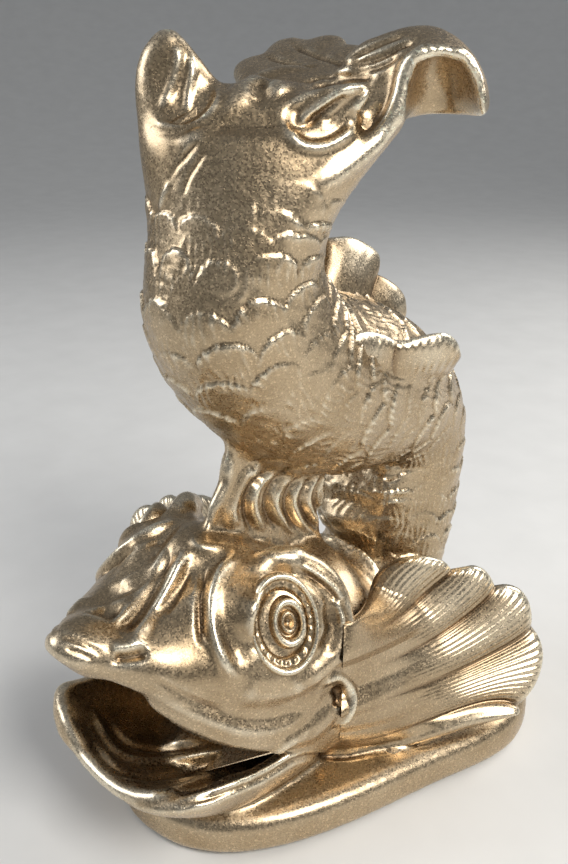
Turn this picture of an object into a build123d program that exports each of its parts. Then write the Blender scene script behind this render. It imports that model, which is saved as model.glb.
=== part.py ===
from build123d import *
import os
from math import cos, radians, sin

# A fish ornament of the traditional baroque kind. All sizes are in millimetres.
# The fish looks along -Y, its left side is +X, and Z = 0 is the shelf that it rests on.
# A table whose name ends in shares holds places as shares of the sizes named beside it.

# Plinth and the pad under it
plinth_half_width = 54.0
plinth_front = 62.0
plinth_back = 67.0
plinth_lift = 0.6
plinth_height = 11.4
plinth_rim_radius = 4.5
plinth_foot_bevel = 0.8
pad_thickness = 1.8
pad_margin = 6.0
pad_clearance = 0.3
plinth_top = plinth_lift + plinth_height

# Body: column behind the head, loop over the head, stem under the tail
body_radius = 20.6
column_offset = 45.0
column_base_offset = 20.0
column_base_half_width = 26.0
column_base_half_length = 31.0
column_seam_height = 78.0
loop_hinge_height = 79.0
loop_rise = 50.0
stem_offset = 24.4
stem_seam_height = 146.0
stem_length = 32.0
stem_top_half_width = 29.0
stem_top_half_depth = 14.0
stem_top_side_shift = 5.0
stem_top_back_shift = 7.0
stem_turn = 45.0

# Dowels inside the body
dowel_radius = 3.0
dowel_length = 26.0
dowel_hole_clearance = 0.1
dowel_end_clearance = 0.3

# Head
head_length = 78.0
head_half_width = 31.0
head_height = 84.0
nose_radius = 9.0
nose_height = 65.0
nose_setback = 9.0
lip_radius = 4.6
mouth_corner_setback = 14.0
cavity_wall = 6.5
brow_radius = 9.5
brow_side = 19.0
brow_setback = 41.0
brow_height = 70.0
valley_radius = 4.4

# Eyes
eye_radius = 10.0
eye_ring_radius = 6.3
pupil_radius = 3.2
eye_dome_height = 3.6
eye_bead_radius = 1.1
eye_spigot_radius = 6.0
eye_spigot_depth = 4.0
eye_side = 26.5
eye_setback = 33.0
eye_height = 67.0
socket_ring_radius = 14.5
socket_ring_thickness = 3.4
socket_sink = 2.6
socket_bulge_radius = 15.0
eye_direction_share = (0.8, -0.38, 0.46)

# Lower jaw and tongue
jaw_front = 74.8
jaw_swerve = 2.0
jaw_half_width = 31.0
jaw_lip_height = 30.0
jaw_base_front_share = 0.7
jaw_base_width_share = 0.74
jaw_wall = 4.2
jaw_floor = 3.4
tongue_length = 42.0
tongue_half_width = 9.5
tongue_height = 7.0
tongue_root_setback = 14.0

# Curl of the lip behind each mouth corner
curl_ring_radius = 6.4
curl_thickness = 2.3
curl_side = 31.6
curl_setback = 13.0
curl_height = 34.0
curl_sweep = 235.0

# Crest from the forehead to the underside of the loop
crest_front = 37.0
crest_back = 9.0
crest_foot = 58.0
crest_top = 112.0
crest_half_thickness = 2.6
crest_flute_radius = 2.6
crest_flute_pitch = 6.6
crest_flute_count = 6
crest_flute_bite = 1.3
crest_flute_lean = 10.0

# Fans
pectoral_length = 52.5
pectoral_ray_width = 10.5
pectoral_ray_depth = 3.1
pectoral_web_thickness = 3.4
pectoral_root_side = 24.0
pectoral_root_back = 2.0
pectoral_root_height = 50.0
pectoral_right_swing = 60.0
pectoral_right_rise = 1.0
pectoral_right_forward = 9.0
pelvic_left_length = 25.0
pelvic_right_length = 30.0
pelvic_ray_width = 6.6
pelvic_ray_depth = 2.8
pelvic_left_side = 8.5
pelvic_left_back = 20.0
pelvic_left_height = 112.0
pelvic_right_side = 3.0
pelvic_right_back = 24.0
pelvic_right_height = 118.0

# Tail
tail_base_height = stem_seam_height + stem_length
left_lobe_height = 20.0
left_lobe_half_width = 12.0
left_lobe_half_depth = 7.5
back_lobe_length = 47.0
back_lobe_ray_width = 6.2
back_lobe_ray_depth = 3.2
pod_hollow_radius = 2.7
right_lobe_reach = 49.0
right_lobe_height = 20.5
right_lobe_half_depth = 12.0
crown_half_width = 21.0
crown_half_depth = 11.0
crown_height = 10.0

overrun = 5.0
shelf_plane = Plane.XY
plinth_top_plane = Plane.XY.offset(plinth_top)
tail_base_plane = Plane.XY.offset(tail_base_height)


def place(across, back, up):
    """A point of the figure from its distance to the left, to the back and up."""
    return Vector(across, back, up)


def oval_form(stations):
    """A closed form through ovals: each station is a plane, a half width and a half depth."""
    with BuildPart() as form:
        for plane, half_width, half_depth in stations:
            with BuildSketch(plane):
                Ellipse(half_width, half_depth)
        loft()
    return form.part


def leaning_plane(centre, lean, turn=0):
    """A section across the body: lean tips its upward line to the front, turn swings its width."""
    across = Vector(cos(radians(turn)), sin(radians(turn)), 0)
    along = Vector(0, -sin(radians(lean)), cos(radians(lean)))
    return Plane(origin=centre, x_dir=across, z_dir=along)


def ray_plane(origin, along, flat):
    """A section across a ray or a tube: flat is the direction of its half width."""
    return Plane(origin=origin, x_dir=flat, z_dir=along)


# Each ray swells from its root and rounds off at its tip: reach, width and depth shares.
ray_swell_shares = ((0.05, 0.28, 0.6), (0.5, 0.72, 1.0), (0.86, 1.0, 0.85), (0.97, 0.72, 0.6), (1.0, 0.3, 0.3))


def fluted_fan(plane, rays, length, width, depth):
    """A fan of rounded rays from one root: each ray is an angle, a length share and a width share."""
    with BuildPart() as fan:
        for angle, length_share, width_share in rays:
            along = plane.x_dir * cos(radians(angle)) + plane.y_dir * sin(radians(angle))
            for reach_share, swell_share, depth_share in ray_swell_shares:
                reach = length * length_share * reach_share
                with BuildSketch(ray_plane(plane.origin + along * reach, along, plane.z_dir)):
                    Ellipse(depth * depth_share, width * width_share * swell_share)
            loft()
    return fan.part


# Body forms: one closed form each, before the pieces are fitted to each other
column_height = column_seam_height - plinth_top
column_run = column_offset - column_base_offset
# Rise, backward run, widening towards the base and lengthening towards the base
column_shares = (
    (0.0, 0.0, 1.0, 1.0),
    (0.27, 0.2, 0.66, 0.6),
    (0.54, 0.64, 0.22, 0.18),
    (0.78, 0.94, 0.0, 0.0),
    (1.0, 1.0, 0.0, 0.0),
)
neck_radius = 18.0
column_stations = [
    (
        Plane.XY.offset(plinth_top + column_height * rise).move(
            Location((0, column_base_offset + column_run * back, 0))
        ),
        neck_radius + (column_base_half_width - neck_radius) * widen,
        neck_radius + (column_base_half_length - neck_radius) * lengthen,
    )
    for rise, back, widen, lengthen in column_shares
]
column_form = oval_form(column_stations)

# Back share of the column's offset, rise share, lean in degrees, half width and depth shares
loop_back = column_offset
loop_shares = (
    (0.911, 0.26, 24.2, 0.95, 0.975),
    (0.689, 0.44, 49.2, 1.02, 1.075),
    (0.311, 0.58, 64.5, 1.06, 1.21),
    (-0.10, 0.74, 56.0, 1.10, 1.15),
    (-0.375, 0.95, 30.0, 1.10, 1.12),
)
loop_stations = [(leaning_plane(place(0, column_offset, column_seam_height), 0), neck_radius, neck_radius)]
loop_stations += [
    (
        leaning_plane(place(0, loop_back * back, loop_hinge_height + loop_rise * rise), lean),
        body_radius * wide,
        body_radius * deep,
    )
    for back, rise, lean, wide, deep in loop_shares
]
loop_stations += [(leaning_plane(place(0, -stem_offset, stem_seam_height), 0), body_radius, body_radius)]
loop_form = oval_form(loop_stations)

# Rise, side and back shift, widening, thinning and turn shares of the stem
stem_shares = (
    (0.0, 0.0, 0.0, 0.0, 0.0, 0.0),
    (0.32, 0.18, 0.08, 0.08, 0.4, 0.35),
    (0.68, 0.6, 0.45, 0.45, 0.72, 0.85),
    (1.0, 1.0, 1.0, 1.0, 1.0, 1.0),
)
stem_stations = [
    (
        leaning_plane(
            place(
                stem_top_side_shift * side,
                -stem_offset + stem_top_back_shift * back,
                stem_seam_height + stem_length * rise,
            ),
            0,
            stem_turn * turn,
        ),
        body_radius + (stem_top_half_width - body_radius) * widen,
        body_radius + (stem_top_half_depth - body_radius) * thin,
    )
    for rise, side, back, widen, thin, turn in stem_shares
]
stem_form = oval_form(stem_stations)

# Head form: back share of the head's length, then half width, top, middle and bottom shares
head_shares = (
    (-0.985, 0.20, 0.835, 0.775, 0.70),
    (-0.935, 0.36, 0.865, 0.77, 0.66),
    (-0.85, 0.58, 0.87, 0.74, 0.56),
    (-0.74, 0.78, 0.885, 0.69, 0.40),
    (-0.62, 0.94, 0.95, 0.67, 0.22),
    (-0.49, 1.03, 1.0, 0.65, 0.10),
    (-0.32, 1.04, 0.91, 0.60, -0.05),
    (-0.13, 0.98, 0.80, 0.53, -0.14),
    (0.06, 0.86, 0.76, 0.48, -0.18),
    (0.23, 0.74, 0.71, 0.45, -0.18),
)
with BuildPart() as head_form:
    for back, wide, top, middle, bottom in head_shares:
        with BuildSketch(Plane.XZ.offset(-head_length * back)):
            with BuildLine():
                crown = head_height * (top - middle)
                chin = head_height * (middle - bottom)
                centre = (0, head_height * middle)
                EllipticalCenterArc(centre, head_half_width * wide, crown, start_angle=0, arc_size=180)
                EllipticalCenterArc(centre, head_half_width * wide, chin, start_angle=180, arc_size=180)
            make_face()
    loft()

# Jaw form: a scoop whose outline widens upwards, its front lip standing out over the plinth and
# swerving to the fish's right
jaw_outline_shares = ((1.0, 0.0), (1.04, 0.25), (1.03, 0.5), (0.93, 0.78), (0.58, 0.96), (0.0, 1.0))
jaw_round_shares = jaw_outline_shares + tuple((-x, y) for x, y in reversed(jaw_outline_shares[:-1]))
# Height share, front share and width share of each level
jaw_level_shares = (
    (0.0, jaw_base_front_share, jaw_base_width_share),
    (0.3, 0.83, 0.87),
    (0.62, 0.955, 0.97),
    (1.4, 1.0, 1.0),
)
jaw_back = mouth_corner_setback
jaw_height = jaw_lip_height - plinth_top


def jaw_levels(inset, lift):
    """The scoop's outline at each level, drawn in by an inset and lifted from the plinth."""
    levels = []
    for height, front, wide in jaw_level_shares:
        half = jaw_half_width * wide - inset
        reach = (jaw_front * front - jaw_back) - inset
        points = [(half * x - jaw_swerve * y, -jaw_back - reach * y) for x, y in jaw_round_shares]
        levels.append((plinth_top + lift + jaw_height * height, points))
    return levels


def scoop(inset, lift):
    """The solid of the scoop's outline through all its levels."""
    with BuildPart() as form:
        for level, points in jaw_levels(inset, lift):
            with BuildSketch(Plane.XY.offset(level)):
                with BuildLine():
                    rim = Spline(*points)
                    Line(rim @ 1, rim @ 0)
                make_face()
        loft()
    return form.part


# Height of the lip above the plinth's top along the jaw, from the corner to the front
lip_line_shares = ((0.0, 1.2), (0.2, 1.05), (0.5, 1.03), (0.75, 1.03), (0.9, 0.91), (1.0, 0.75))
lip_line = [
    (-jaw_back - (jaw_front - jaw_back) * back, plinth_top + jaw_height * height)
    for back, height in lip_line_shares
]

# Edge of the upper lip, from the corner to the nose: reach share and height share of the head
upper_lip_shares = (
    (0.18, 0.4),
    (0.27, 0.4),
    (0.41, 0.395),
    (0.6, 0.455),
    (0.72, 0.535),
    (0.81, 0.63),
    (0.9, 0.715),
)
upper_lip_line = [(-head_length * back, head_height * up) for back, up in upper_lip_shares]

with BuildPart() as mouth_gap:
    with BuildSketch(Plane.YZ):
        with BuildLine():
            roof = Spline(*upper_lip_line)
            Polyline(
                roof @ 1,
                (-head_length - nose_radius, head_height * upper_lip_shares[-1][1]),
                (-head_length - nose_radius, 0),
                (-jaw_back, 0),
                roof @ 0,
            )
        make_face()
    extrude(amount=head_half_width + overrun * 4, both=True)

# Pad and plinth
plinth_left_shares = ((0.36, -0.89), (0.69, -0.45), (0.9, 0.15), (1.0, 0.56), (0.78, 0.88))
plinth_right_shares = ((-0.66, 0.86), (-1.04, 0.5), (-1.2, 0.06), (-0.95, -0.42), (-0.45, -0.86))


def plinth_sketch(inset):
    """The plinth's outline, drawn in by an inset."""
    half = plinth_half_width - inset
    front = plinth_front - inset
    back = plinth_back - inset
    shares = ((0, -1), *plinth_left_shares, (0, 1), *plinth_right_shares)
    points = [(half * across, (back if depth > 0 else front) * depth) for across, depth in shares]
    with BuildSketch() as outline:
        with BuildLine():
            Spline(*points, periodic=True)
        make_face()
    return outline.sketch


with BuildPart() as felt_pad:
    with BuildSketch(shelf_plane):
        add(plinth_sketch(pad_margin))
    extrude(amount=pad_thickness)

with BuildPart() as base_plinth:
    with BuildSketch(Plane.XY.offset(plinth_lift)):
        add(plinth_sketch(0))
    extrude(amount=plinth_height)
    fillet(base_plinth.edges().group_by(Axis.Z)[-1], plinth_rim_radius)
    chamfer(base_plinth.edges().group_by(Axis.Z)[0], plinth_foot_bevel)
    with BuildSketch(Plane.XY.offset(plinth_lift)):
        add(plinth_sketch(pad_margin - pad_clearance))
    extrude(amount=pad_thickness - plinth_lift, mode=Mode.SUBTRACT)
    with BuildSketch(plinth_top_plane):
        with Locations((0, column_base_offset)):
            Circle(dowel_radius + dowel_hole_clearance)
    extrude(amount=-plinth_height / 2, mode=Mode.SUBTRACT)


def dowel_hole(centre, up, down):
    """The round hole for a dowel, running up and down from its seam."""
    with BuildPart() as hole:
        with BuildSketch(Plane.XY.offset(centre.Z - down)):
            with Locations((centre.X, centre.Y)):
                Circle(dowel_radius + dowel_hole_clearance)
        extrude(amount=up + down)
    return hole.part


half_dowel = dowel_length / 2
column_dowel_foot = place(0, column_base_offset, plinth_top)
loop_dowel_centre = place(0, column_offset, column_seam_height)
stem_dowel_centre = place(0, -stem_offset, stem_seam_height)
column_hole = dowel_hole(column_dowel_foot, dowel_length, 0)
loop_hole = dowel_hole(loop_dowel_centre, half_dowel, half_dowel)
stem_hole = dowel_hole(stem_dowel_centre, half_dowel, half_dowel)


def dowel(centre, up, down):
    """A round pin across a seam, a little shorter than its hole at both ends."""
    with BuildPart() as pin:
        with BuildSketch(Plane.XY.offset(centre.Z - down + dowel_end_clearance)):
            with Locations((centre.X, centre.Y)):
                Circle(dowel_radius)
        extrude(amount=up + down - dowel_end_clearance * 2)
    return pin


column_dowel = dowel(column_dowel_foot, dowel_length, plinth_height / 2)
loop_dowel = dowel(loop_dowel_centre, half_dowel, half_dowel)
stem_dowel = dowel(stem_dowel_centre, half_dowel, half_dowel)

# Body pieces
with BuildPart() as body_column:
    add(column_form)
    add(column_hole, mode=Mode.SUBTRACT)
    add(loop_hole, mode=Mode.SUBTRACT)

with BuildPart() as body_loop:
    add(loop_form)
    add(loop_hole, mode=Mode.SUBTRACT)
    add(stem_hole, mode=Mode.SUBTRACT)

with BuildPart() as tail_stem:
    add(stem_form)
    add(stem_hole, mode=Mode.SUBTRACT)


# Eyes
def eye_plane(side):
    """The plane of an eye, side +1 for the left one and -1 for the right one."""
    across, back, up = eye_direction_share
    return Plane(
        origin=place(eye_side * side, -eye_setback, eye_height),
        x_dir=(0, 1, 0),
        z_dir=(across * side, back, up),
    )


with BuildPart() as eye_blank:
    with BuildSketch(Plane.XZ):
        with BuildLine():
            Polyline(
                (0, eye_dome_height - eye_bead_radius * 2),
                (0, -eye_spigot_depth),
                (eye_spigot_radius, -eye_spigot_depth),
                (eye_spigot_radius, 0),
                (eye_radius, 0),
                (eye_radius, eye_bead_radius),
            )
            ThreePointArc(
                (eye_radius, eye_bead_radius),
                (eye_radius - eye_bead_radius, eye_bead_radius * 2),
                (eye_radius - eye_bead_radius * 2, eye_bead_radius),
            )
            Line(
                (eye_radius - eye_bead_radius * 2, eye_bead_radius),
                (eye_ring_radius, eye_dome_height - eye_bead_radius),
            )
            ThreePointArc(
                (eye_ring_radius, eye_dome_height - eye_bead_radius),
                ((eye_ring_radius + pupil_radius) / 2, eye_dome_height),
                (pupil_radius, eye_dome_height - eye_bead_radius * 2),
            )
            Line(
                (pupil_radius, eye_dome_height - eye_bead_radius * 2),
                (0, eye_dome_height - eye_bead_radius * 2),
            )
        make_face()
    revolve(axis=Axis.Z)

eye_left = BuildPart()
with eye_left:
    add(eye_blank.part.moved(eye_plane(1).location))
eye_right = BuildPart()
with eye_right:
    add(eye_blank.part.moved(eye_plane(-1).location))

# Lip band of the upper jaw, from the mouth corner to the nose: width share at each station
lip_band_shares = (
    (0.25, 0.96, 0.42),
    (0.41, 0.97, 0.418),
    (0.6, 0.84, 0.478),
    (0.73, 0.66, 0.565),
    (0.83, 0.42, 0.66),
)
lip_band_points = [
    place(head_half_width * wide, -head_length * back, head_height * up + lip_radius / 4)
    for back, wide, up in lip_band_shares
]
lip_band_swell_shares = (0.7, 1.0, 1.0, 0.95, 0.7)
with BuildPart() as lip_band:
    for i, point in enumerate(lip_band_points):
        before = lip_band_points[max(i - 1, 0)]
        after = lip_band_points[min(i + 1, len(lip_band_points) - 1)]
        with BuildSketch(ray_plane(point, after - before, (0, 0, 1))):
            Circle(lip_radius * lip_band_swell_shares[i])
    loft()

# Valley beside the bridge, from the nose to the forehead: back, side and height shares of the head,
# and its swell
valley_shares = (
    (0.87, 0.21, 0.863, 0.34),
    (0.77, 0.24, 0.893, 0.8),
    (0.64, 0.27, 0.948, 1.0),
    (0.51, 0.31, 0.992, 0.8),
    (0.44, 0.33, 0.996, 0.3),
)
with BuildPart() as valley:
    for back, side, up, swell in valley_shares:
        with BuildSketch(Plane.XZ.offset(head_length * back)):
            with Locations((head_half_width * side, head_height * up)):
                Circle(valley_radius * swell)
    loft()

# Mouth cavity inside the head
cavity_shares = ((-0.9, 0.3, 0.62, 0.08), (-0.72, 0.74, 0.5, 0.16), (-0.5, 0.96, 0.39, 0.2), (-0.22, 0.8, 0.36, 0.12))
with BuildPart() as mouth_cavity:
    for back, wide, up, tall in cavity_shares:
        with BuildSketch(Plane.XZ.offset(-head_length * back)):
            with Locations((0, head_height * up)):
                Ellipse((head_half_width - cavity_wall) * wide, head_height * tall)
    loft()

with BuildPart() as lower_jaw:
    add(scoop(0, 0))
    with BuildSketch(Plane.YZ):
        with BuildLine():
            lip = Spline(*lip_line)
            Polyline(
                lip @ 1,
                (-jaw_front - overrun, (lip @ 1).Y),
                (-jaw_front - overrun, 0),
                (-jaw_back, 0),
                lip @ 0,
            )
        make_face()
    extrude(amount=jaw_half_width + jaw_swerve + overrun * 4, both=True, mode=Mode.INTERSECT)
    add(scoop(jaw_wall, jaw_floor), mode=Mode.SUBTRACT)

with BuildPart() as head:
    add(head_form.part)
    with Locations((0, -head_length + nose_setback, nose_height)):
        Sphere(nose_radius)
    for side in (1, -1):
        with Locations(eye_plane(side).offset(-socket_bulge_radius).location):
            Sphere(socket_bulge_radius)
        with Locations(eye_plane(side).offset(-socket_sink).location):
            Torus(socket_ring_radius, socket_ring_thickness)
        with Locations((brow_side * side, -brow_setback, brow_height)):
            Sphere(brow_radius)
    add(mouth_gap.part, mode=Mode.SUBTRACT)
    add(lip_band.part)
    add(lip_band.part.mirror(Plane.YZ))
    split(bisect_by=plinth_top_plane, keep=Keep.TOP)
    add(mouth_cavity.part, mode=Mode.SUBTRACT)
    for side in (1, -1):
        with BuildSketch(eye_plane(side)):
            Circle(eye_radius)
        extrude(amount=brow_radius * 2, mode=Mode.SUBTRACT)
        with BuildSketch(eye_plane(side)):
            Circle(eye_spigot_radius)
        extrude(amount=-eye_spigot_depth, mode=Mode.SUBTRACT)
    add(valley.part, mode=Mode.SUBTRACT)
    add(valley.part.mirror(Plane.YZ), mode=Mode.SUBTRACT)
    add(column_form, mode=Mode.SUBTRACT)
    add(lower_jaw.part, mode=Mode.SUBTRACT)

# Tongue: a ridge from the throat towards the front, lying on the floor of the jaw
tongue_shares = ((0.0, 0.85, 1.0), (0.45, 1.0, 0.9), (0.8, 0.75, 0.7), (1.0, 0.3, 0.3))
tongue_floor = plinth_top + jaw_floor
with BuildPart() as tongue:
    for reach, wide, tall in tongue_shares:
        with BuildSketch(Plane.XZ.offset(tongue_root_setback + tongue_length * reach)):
            with Locations((0, tongue_floor)):
                Ellipse(tongue_half_width * wide, tongue_height * tall)
    loft()
    split(bisect_by=Plane.XY.offset(tongue_floor), keep=Keep.TOP)
    add(head.part, mode=Mode.SUBTRACT)
    add(lower_jaw.part, mode=Mode.SUBTRACT)

# Crest: a web with flutes on both faces, fitted between the forehead and the loop
crest_width = crest_front - crest_back
with BuildPart() as crest:
    with BuildSketch(Plane.YZ):
        with BuildLine():
            front = Spline(
                (-crest_front, crest_foot),
                (-crest_front + crest_width * 0.14, (crest_foot + crest_top) / 2),
                (-crest_front + crest_width * 0.42, crest_top),
            )
            back = Spline(
                (crest_back, crest_top),
                (crest_back - crest_width * 0.2, (crest_foot + crest_top) / 2),
                (crest_back, crest_foot),
            )
            Line(front @ 1, back @ 0)
            Line(back @ 1, front @ 0)
        make_face()
    extrude(amount=crest_half_thickness, both=True)
    for i in range(crest_flute_count):
        flute_back = -crest_front + crest_flute_pitch * (i + 1)
        for side in (1, -1):
            flute_side = (crest_half_thickness + crest_flute_radius - crest_flute_bite) * side
            flute_centre = Location(
                (flute_side, flute_back, (crest_foot + crest_top) / 2), (crest_flute_lean, 0, 0)
            )
            with Locations(flute_centre):
                Cylinder(crest_flute_radius, crest_top - crest_foot + overrun * 2, mode=Mode.SUBTRACT)
    add(head_form.part, mode=Mode.SUBTRACT)
    add(loop_form, mode=Mode.SUBTRACT)
    add(column_form, mode=Mode.SUBTRACT)


# Curls behind the mouth corners
def mouth_curl(side):
    """The loop of the lip behind a mouth corner, lying against the cheek."""
    middle = place(curl_side * side, -curl_setback, curl_height)
    with BuildPart() as curl:
        with BuildSketch(Plane(origin=middle + Vector(0, 0, curl_ring_radius), x_dir=(side, 0, 0), z_dir=(0, -1, 0))):
            Circle(curl_thickness)
        revolve(axis=Axis(middle, (1, 0, 0)), revolution_arc=curl_sweep)
        add(head.part, mode=Mode.SUBTRACT)
        add(lower_jaw.part, mode=Mode.SUBTRACT)
    return curl


mouth_curl_left = mouth_curl(1)
mouth_curl_right = mouth_curl(-1)

# Pectoral fins: five rays and the web that runs from them down to the plinth
pectoral_reach_share = (0.487, 0.849, -0.203)
pectoral_face_share = (0.841, -0.394, 0.37)
pectoral_ray_shares = ((30.0, 0.6, 0.75), (13.5, 0.8, 0.86), (0.0, 0.93, 0.86), (-13.5, 1.0, 0.9), (-28.0, 1.08, 0.95))
pectoral_web_shares = ((0.0, 0.0), (0.72, -0.14), (0.93, -0.54), (0.84, -0.78), (0.38, -0.82), (-0.14, -0.9), (-0.16, -0.3))
pectoral_root = place(pectoral_root_side, pectoral_root_back, pectoral_root_height)
pectoral_plane = Plane(origin=pectoral_root, x_dir=pectoral_reach_share, z_dir=pectoral_face_share)

with BuildPart() as pectoral_form:
    add(fluted_fan(pectoral_plane, pectoral_ray_shares, pectoral_length, pectoral_ray_width, pectoral_ray_depth))
    with BuildSketch(pectoral_plane):
        with BuildLine():
            Polyline(*[(pectoral_length * u, pectoral_length * v) for u, v in pectoral_web_shares], close=True)
        make_face()
    extrude(amount=pectoral_web_thickness / 2, both=True)

swing_axis = Axis(place(-pectoral_root_side, pectoral_root_back, pectoral_root_height), (0, 0, 1))
pectoral_right_form = (
    pectoral_form.part.mirror(Plane.YZ)
    .rotate(swing_axis, pectoral_right_swing)
    .moved(Location((0, -pectoral_right_forward, pectoral_right_rise)))
)


def pectoral_fin(form, curl):
    """A fan cut off at the plinth and fitted to the pieces that it touches."""
    with BuildPart() as cut_form:
        add(form)
        split(bisect_by=plinth_top_plane, keep=Keep.TOP)
        for neighbour in (head.part, column_form, lower_jaw.part, tongue.part, curl.part):
            add(neighbour, mode=Mode.SUBTRACT)
    with BuildPart() as fin:
        add(cut_form.part.solids().sort_by(SortBy.VOLUME)[-1])
    return fin


pectoral_fin_left = pectoral_fin(pectoral_form.part, mouth_curl_left)
pectoral_fin_right = pectoral_fin(pectoral_right_form, mouth_curl_right)

# Pelvic fins: small fans on top of the loop
pelvic_left_ray_shares = ((48.0, 0.95, 1.0), (24.0, 0.85, 0.9), (0.0, 0.98, 1.05), (-34.0, 1.0, 1.05))
pelvic_left_root = place(pelvic_left_side, pelvic_left_back, pelvic_left_height)
pelvic_left_plane = Plane(origin=pelvic_left_root, x_dir=(0.68, 0.18, 0.71), z_dir=(0.71, -0.43, -0.57))
pelvic_right_ray_shares = ((10.0, 0.95, 1.0), (-20.0, 1.0, 1.1), (-52.0, 1.0, 1.1))
pelvic_right_root = place(-pelvic_right_side, pelvic_right_back, pelvic_right_height)
pelvic_right_plane = Plane(origin=pelvic_right_root, x_dir=(-0.34, 0.23, 0.91), z_dir=(0.93, 0.05, 0.35))


def pelvic_fin(plane, rays, length):
    """A small fan whose root is let into the top of the loop."""
    with BuildPart() as fin:
        add(fluted_fan(plane, rays, length, pelvic_ray_width, pelvic_ray_depth))
        add(loop_form, mode=Mode.SUBTRACT)
    return fin


pelvic_fin_left = pelvic_fin(pelvic_left_plane, pelvic_left_ray_shares, pelvic_left_length)
pelvic_fin_right = pelvic_fin(pelvic_right_plane, pelvic_right_ray_shares, pelvic_right_length)

# Tail: a crown in the middle and three leaves around it, all standing on the top of the stem
tail_centre = place(stem_top_side_shift, -stem_offset + stem_top_back_shift, tail_base_height)
fan_across = Vector(cos(radians(stem_turn)), sin(radians(stem_turn)), 0)
fan_face = Vector(sin(radians(stem_turn)), -cos(radians(stem_turn)), 0)

# Height and swell shares of the crown's dome
crown_shares = ((0.0, 1.0), (0.5, 0.86), (0.85, 0.5), (1.0, 0.16))
crown_stations = [
    (
        Plane(origin=tail_centre + Vector(0, 0, crown_height * up), x_dir=fan_across, z_dir=(0, 0, 1)),
        crown_half_width * swell,
        crown_half_depth * swell,
    )
    for up, swell in crown_shares
]
# Ear in front of the crown: reach, rise, half height and half depth shares of the crown's sizes
ear_shares = (
    (0.10, 0.2, 0.16, 0.14),
    (0.28, 0.22, 0.5, 0.34),
    (0.58, 0.35, 0.56, 0.38),
    (0.84, 0.6, 0.4, 0.3),
    (1.02, 0.82, 0.15, 0.12),
)
ear_front_share = 0.78
ear_hollow_share = 0.62
ear_lift = 3.2


def ear_form(size_share, forward):
    """The ear's oval form, at a share of its size and moved forward."""
    stations = [
        (
            Plane(
                origin=tail_centre
                + fan_across * crown_half_width * reach
                + fan_face * (crown_half_depth * ear_front_share + forward)
                + Vector(0, 0, crown_height * up),
                x_dir=fan_face,
                z_dir=fan_across,
            ),
            crown_half_depth * deep * size_share,
            crown_height * tall * size_share,
        )
        for reach, up, tall, deep in ear_shares
    ]
    return oval_form(stations)


with BuildPart() as tail_crown:
    add(oval_form(crown_stations))
    add(ear_form(1, 0))
    add(ear_form(ear_hollow_share, ear_lift), mode=Mode.SUBTRACT)
    split(bisect_by=tail_base_plane, keep=Keep.TOP)

# Height, reach across, width, depth and wall shares of the left leaf
left_lobe_shares = (
    (-0.1, 0.58, 1.0, 1.0),
    (0.4, 0.68, 0.8, 0.8),
    (0.75, 0.74, 0.52, 0.55),
    (1.0, 0.74, 0.16, 0.22),
)
left_lobe_stations = [
    (
        Plane(
            origin=tail_centre
            - fan_across * stem_top_half_width * across
            + Vector(0, 0, left_lobe_height * up),
            x_dir=fan_across,
            z_dir=(0, 0, 1),
        ),
        left_lobe_half_width * wide,
        left_lobe_half_depth * deep,
    )
    for up, across, wide, deep in left_lobe_shares
]
# Reach across, foot and top of the three hollows in the left leaf's face
pod_hollow_shares = ((0.79, 0.16, 0.86), (0.63, 0.14, 0.78), (0.47, 0.16, 0.62))
# Rise, swell and forward shares of a hollow
pod_swell_shares = ((0.0, 0.25, 1.02), (0.3, 1.0, 0.92), (0.7, 0.9, 0.76), (1.0, 0.25, 0.5))
with BuildPart() as tail_lobe_left:
    add(oval_form(left_lobe_stations))
    split(bisect_by=tail_base_plane, keep=Keep.TOP)
    for across, foot, top in pod_hollow_shares:
        hollow_stations = [
            (
                Plane(
                    origin=tail_centre
                    - fan_across * stem_top_half_width * across
                    + fan_face * left_lobe_half_depth * forward
                    + Vector(0, 0, left_lobe_height * (foot + (top - foot) * rise)),
                    x_dir=fan_across,
                    z_dir=(0, 0, 1),
                ),
                pod_hollow_radius * swell,
                pod_hollow_radius * swell,
            )
            for rise, swell, forward in pod_swell_shares
        ]
        add(oval_form(hollow_stations), mode=Mode.SUBTRACT)
    add(tail_crown.part, mode=Mode.SUBTRACT)

# The right leaf is a hood: its arches from front to back, each a forward share and points as shares
# of the leaf's reach and height
hood_shares = (
    (
        0.62,
        ((0.43, 0.0), (0.51, 0.1), (0.547, 0.32), (0.571, 0.56), (0.612, 0.73), (0.684, 0.82))
        + ((0.765, 0.8), (0.837, 0.68), (0.894, 0.5), (0.927, 0.31), (0.93, 0.1)),
    ),
    (
        0.0,
        ((0.3, 0.0), (0.38, 0.24), (0.449, 0.51), (0.51, 0.72), (0.592, 0.87), (0.694, 0.93))
        + ((0.786, 0.88), (0.867, 0.75), (0.929, 0.55), (0.963, 0.31), (0.967, 0.1)),
    ),
    (
        -0.66,
        ((0.22, 0.0), (0.265, 0.39), (0.316, 0.66), (0.388, 0.83), (0.51, 0.93), (0.633, 1.0))
        + ((0.735, 0.98), (0.837, 0.83), (0.922, 0.61), (0.98, 0.33), (0.992, 0.12)),
    ),
    (
        -1.0,
        ((0.33, 0.0), (0.367, 0.29), (0.408, 0.49), (0.469, 0.63), (0.571, 0.73), (0.653, 0.78))
        + ((0.735, 0.76), (0.816, 0.63), (0.878, 0.46), (0.908, 0.27), (0.918, 0.11)),
    ),
)
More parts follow.
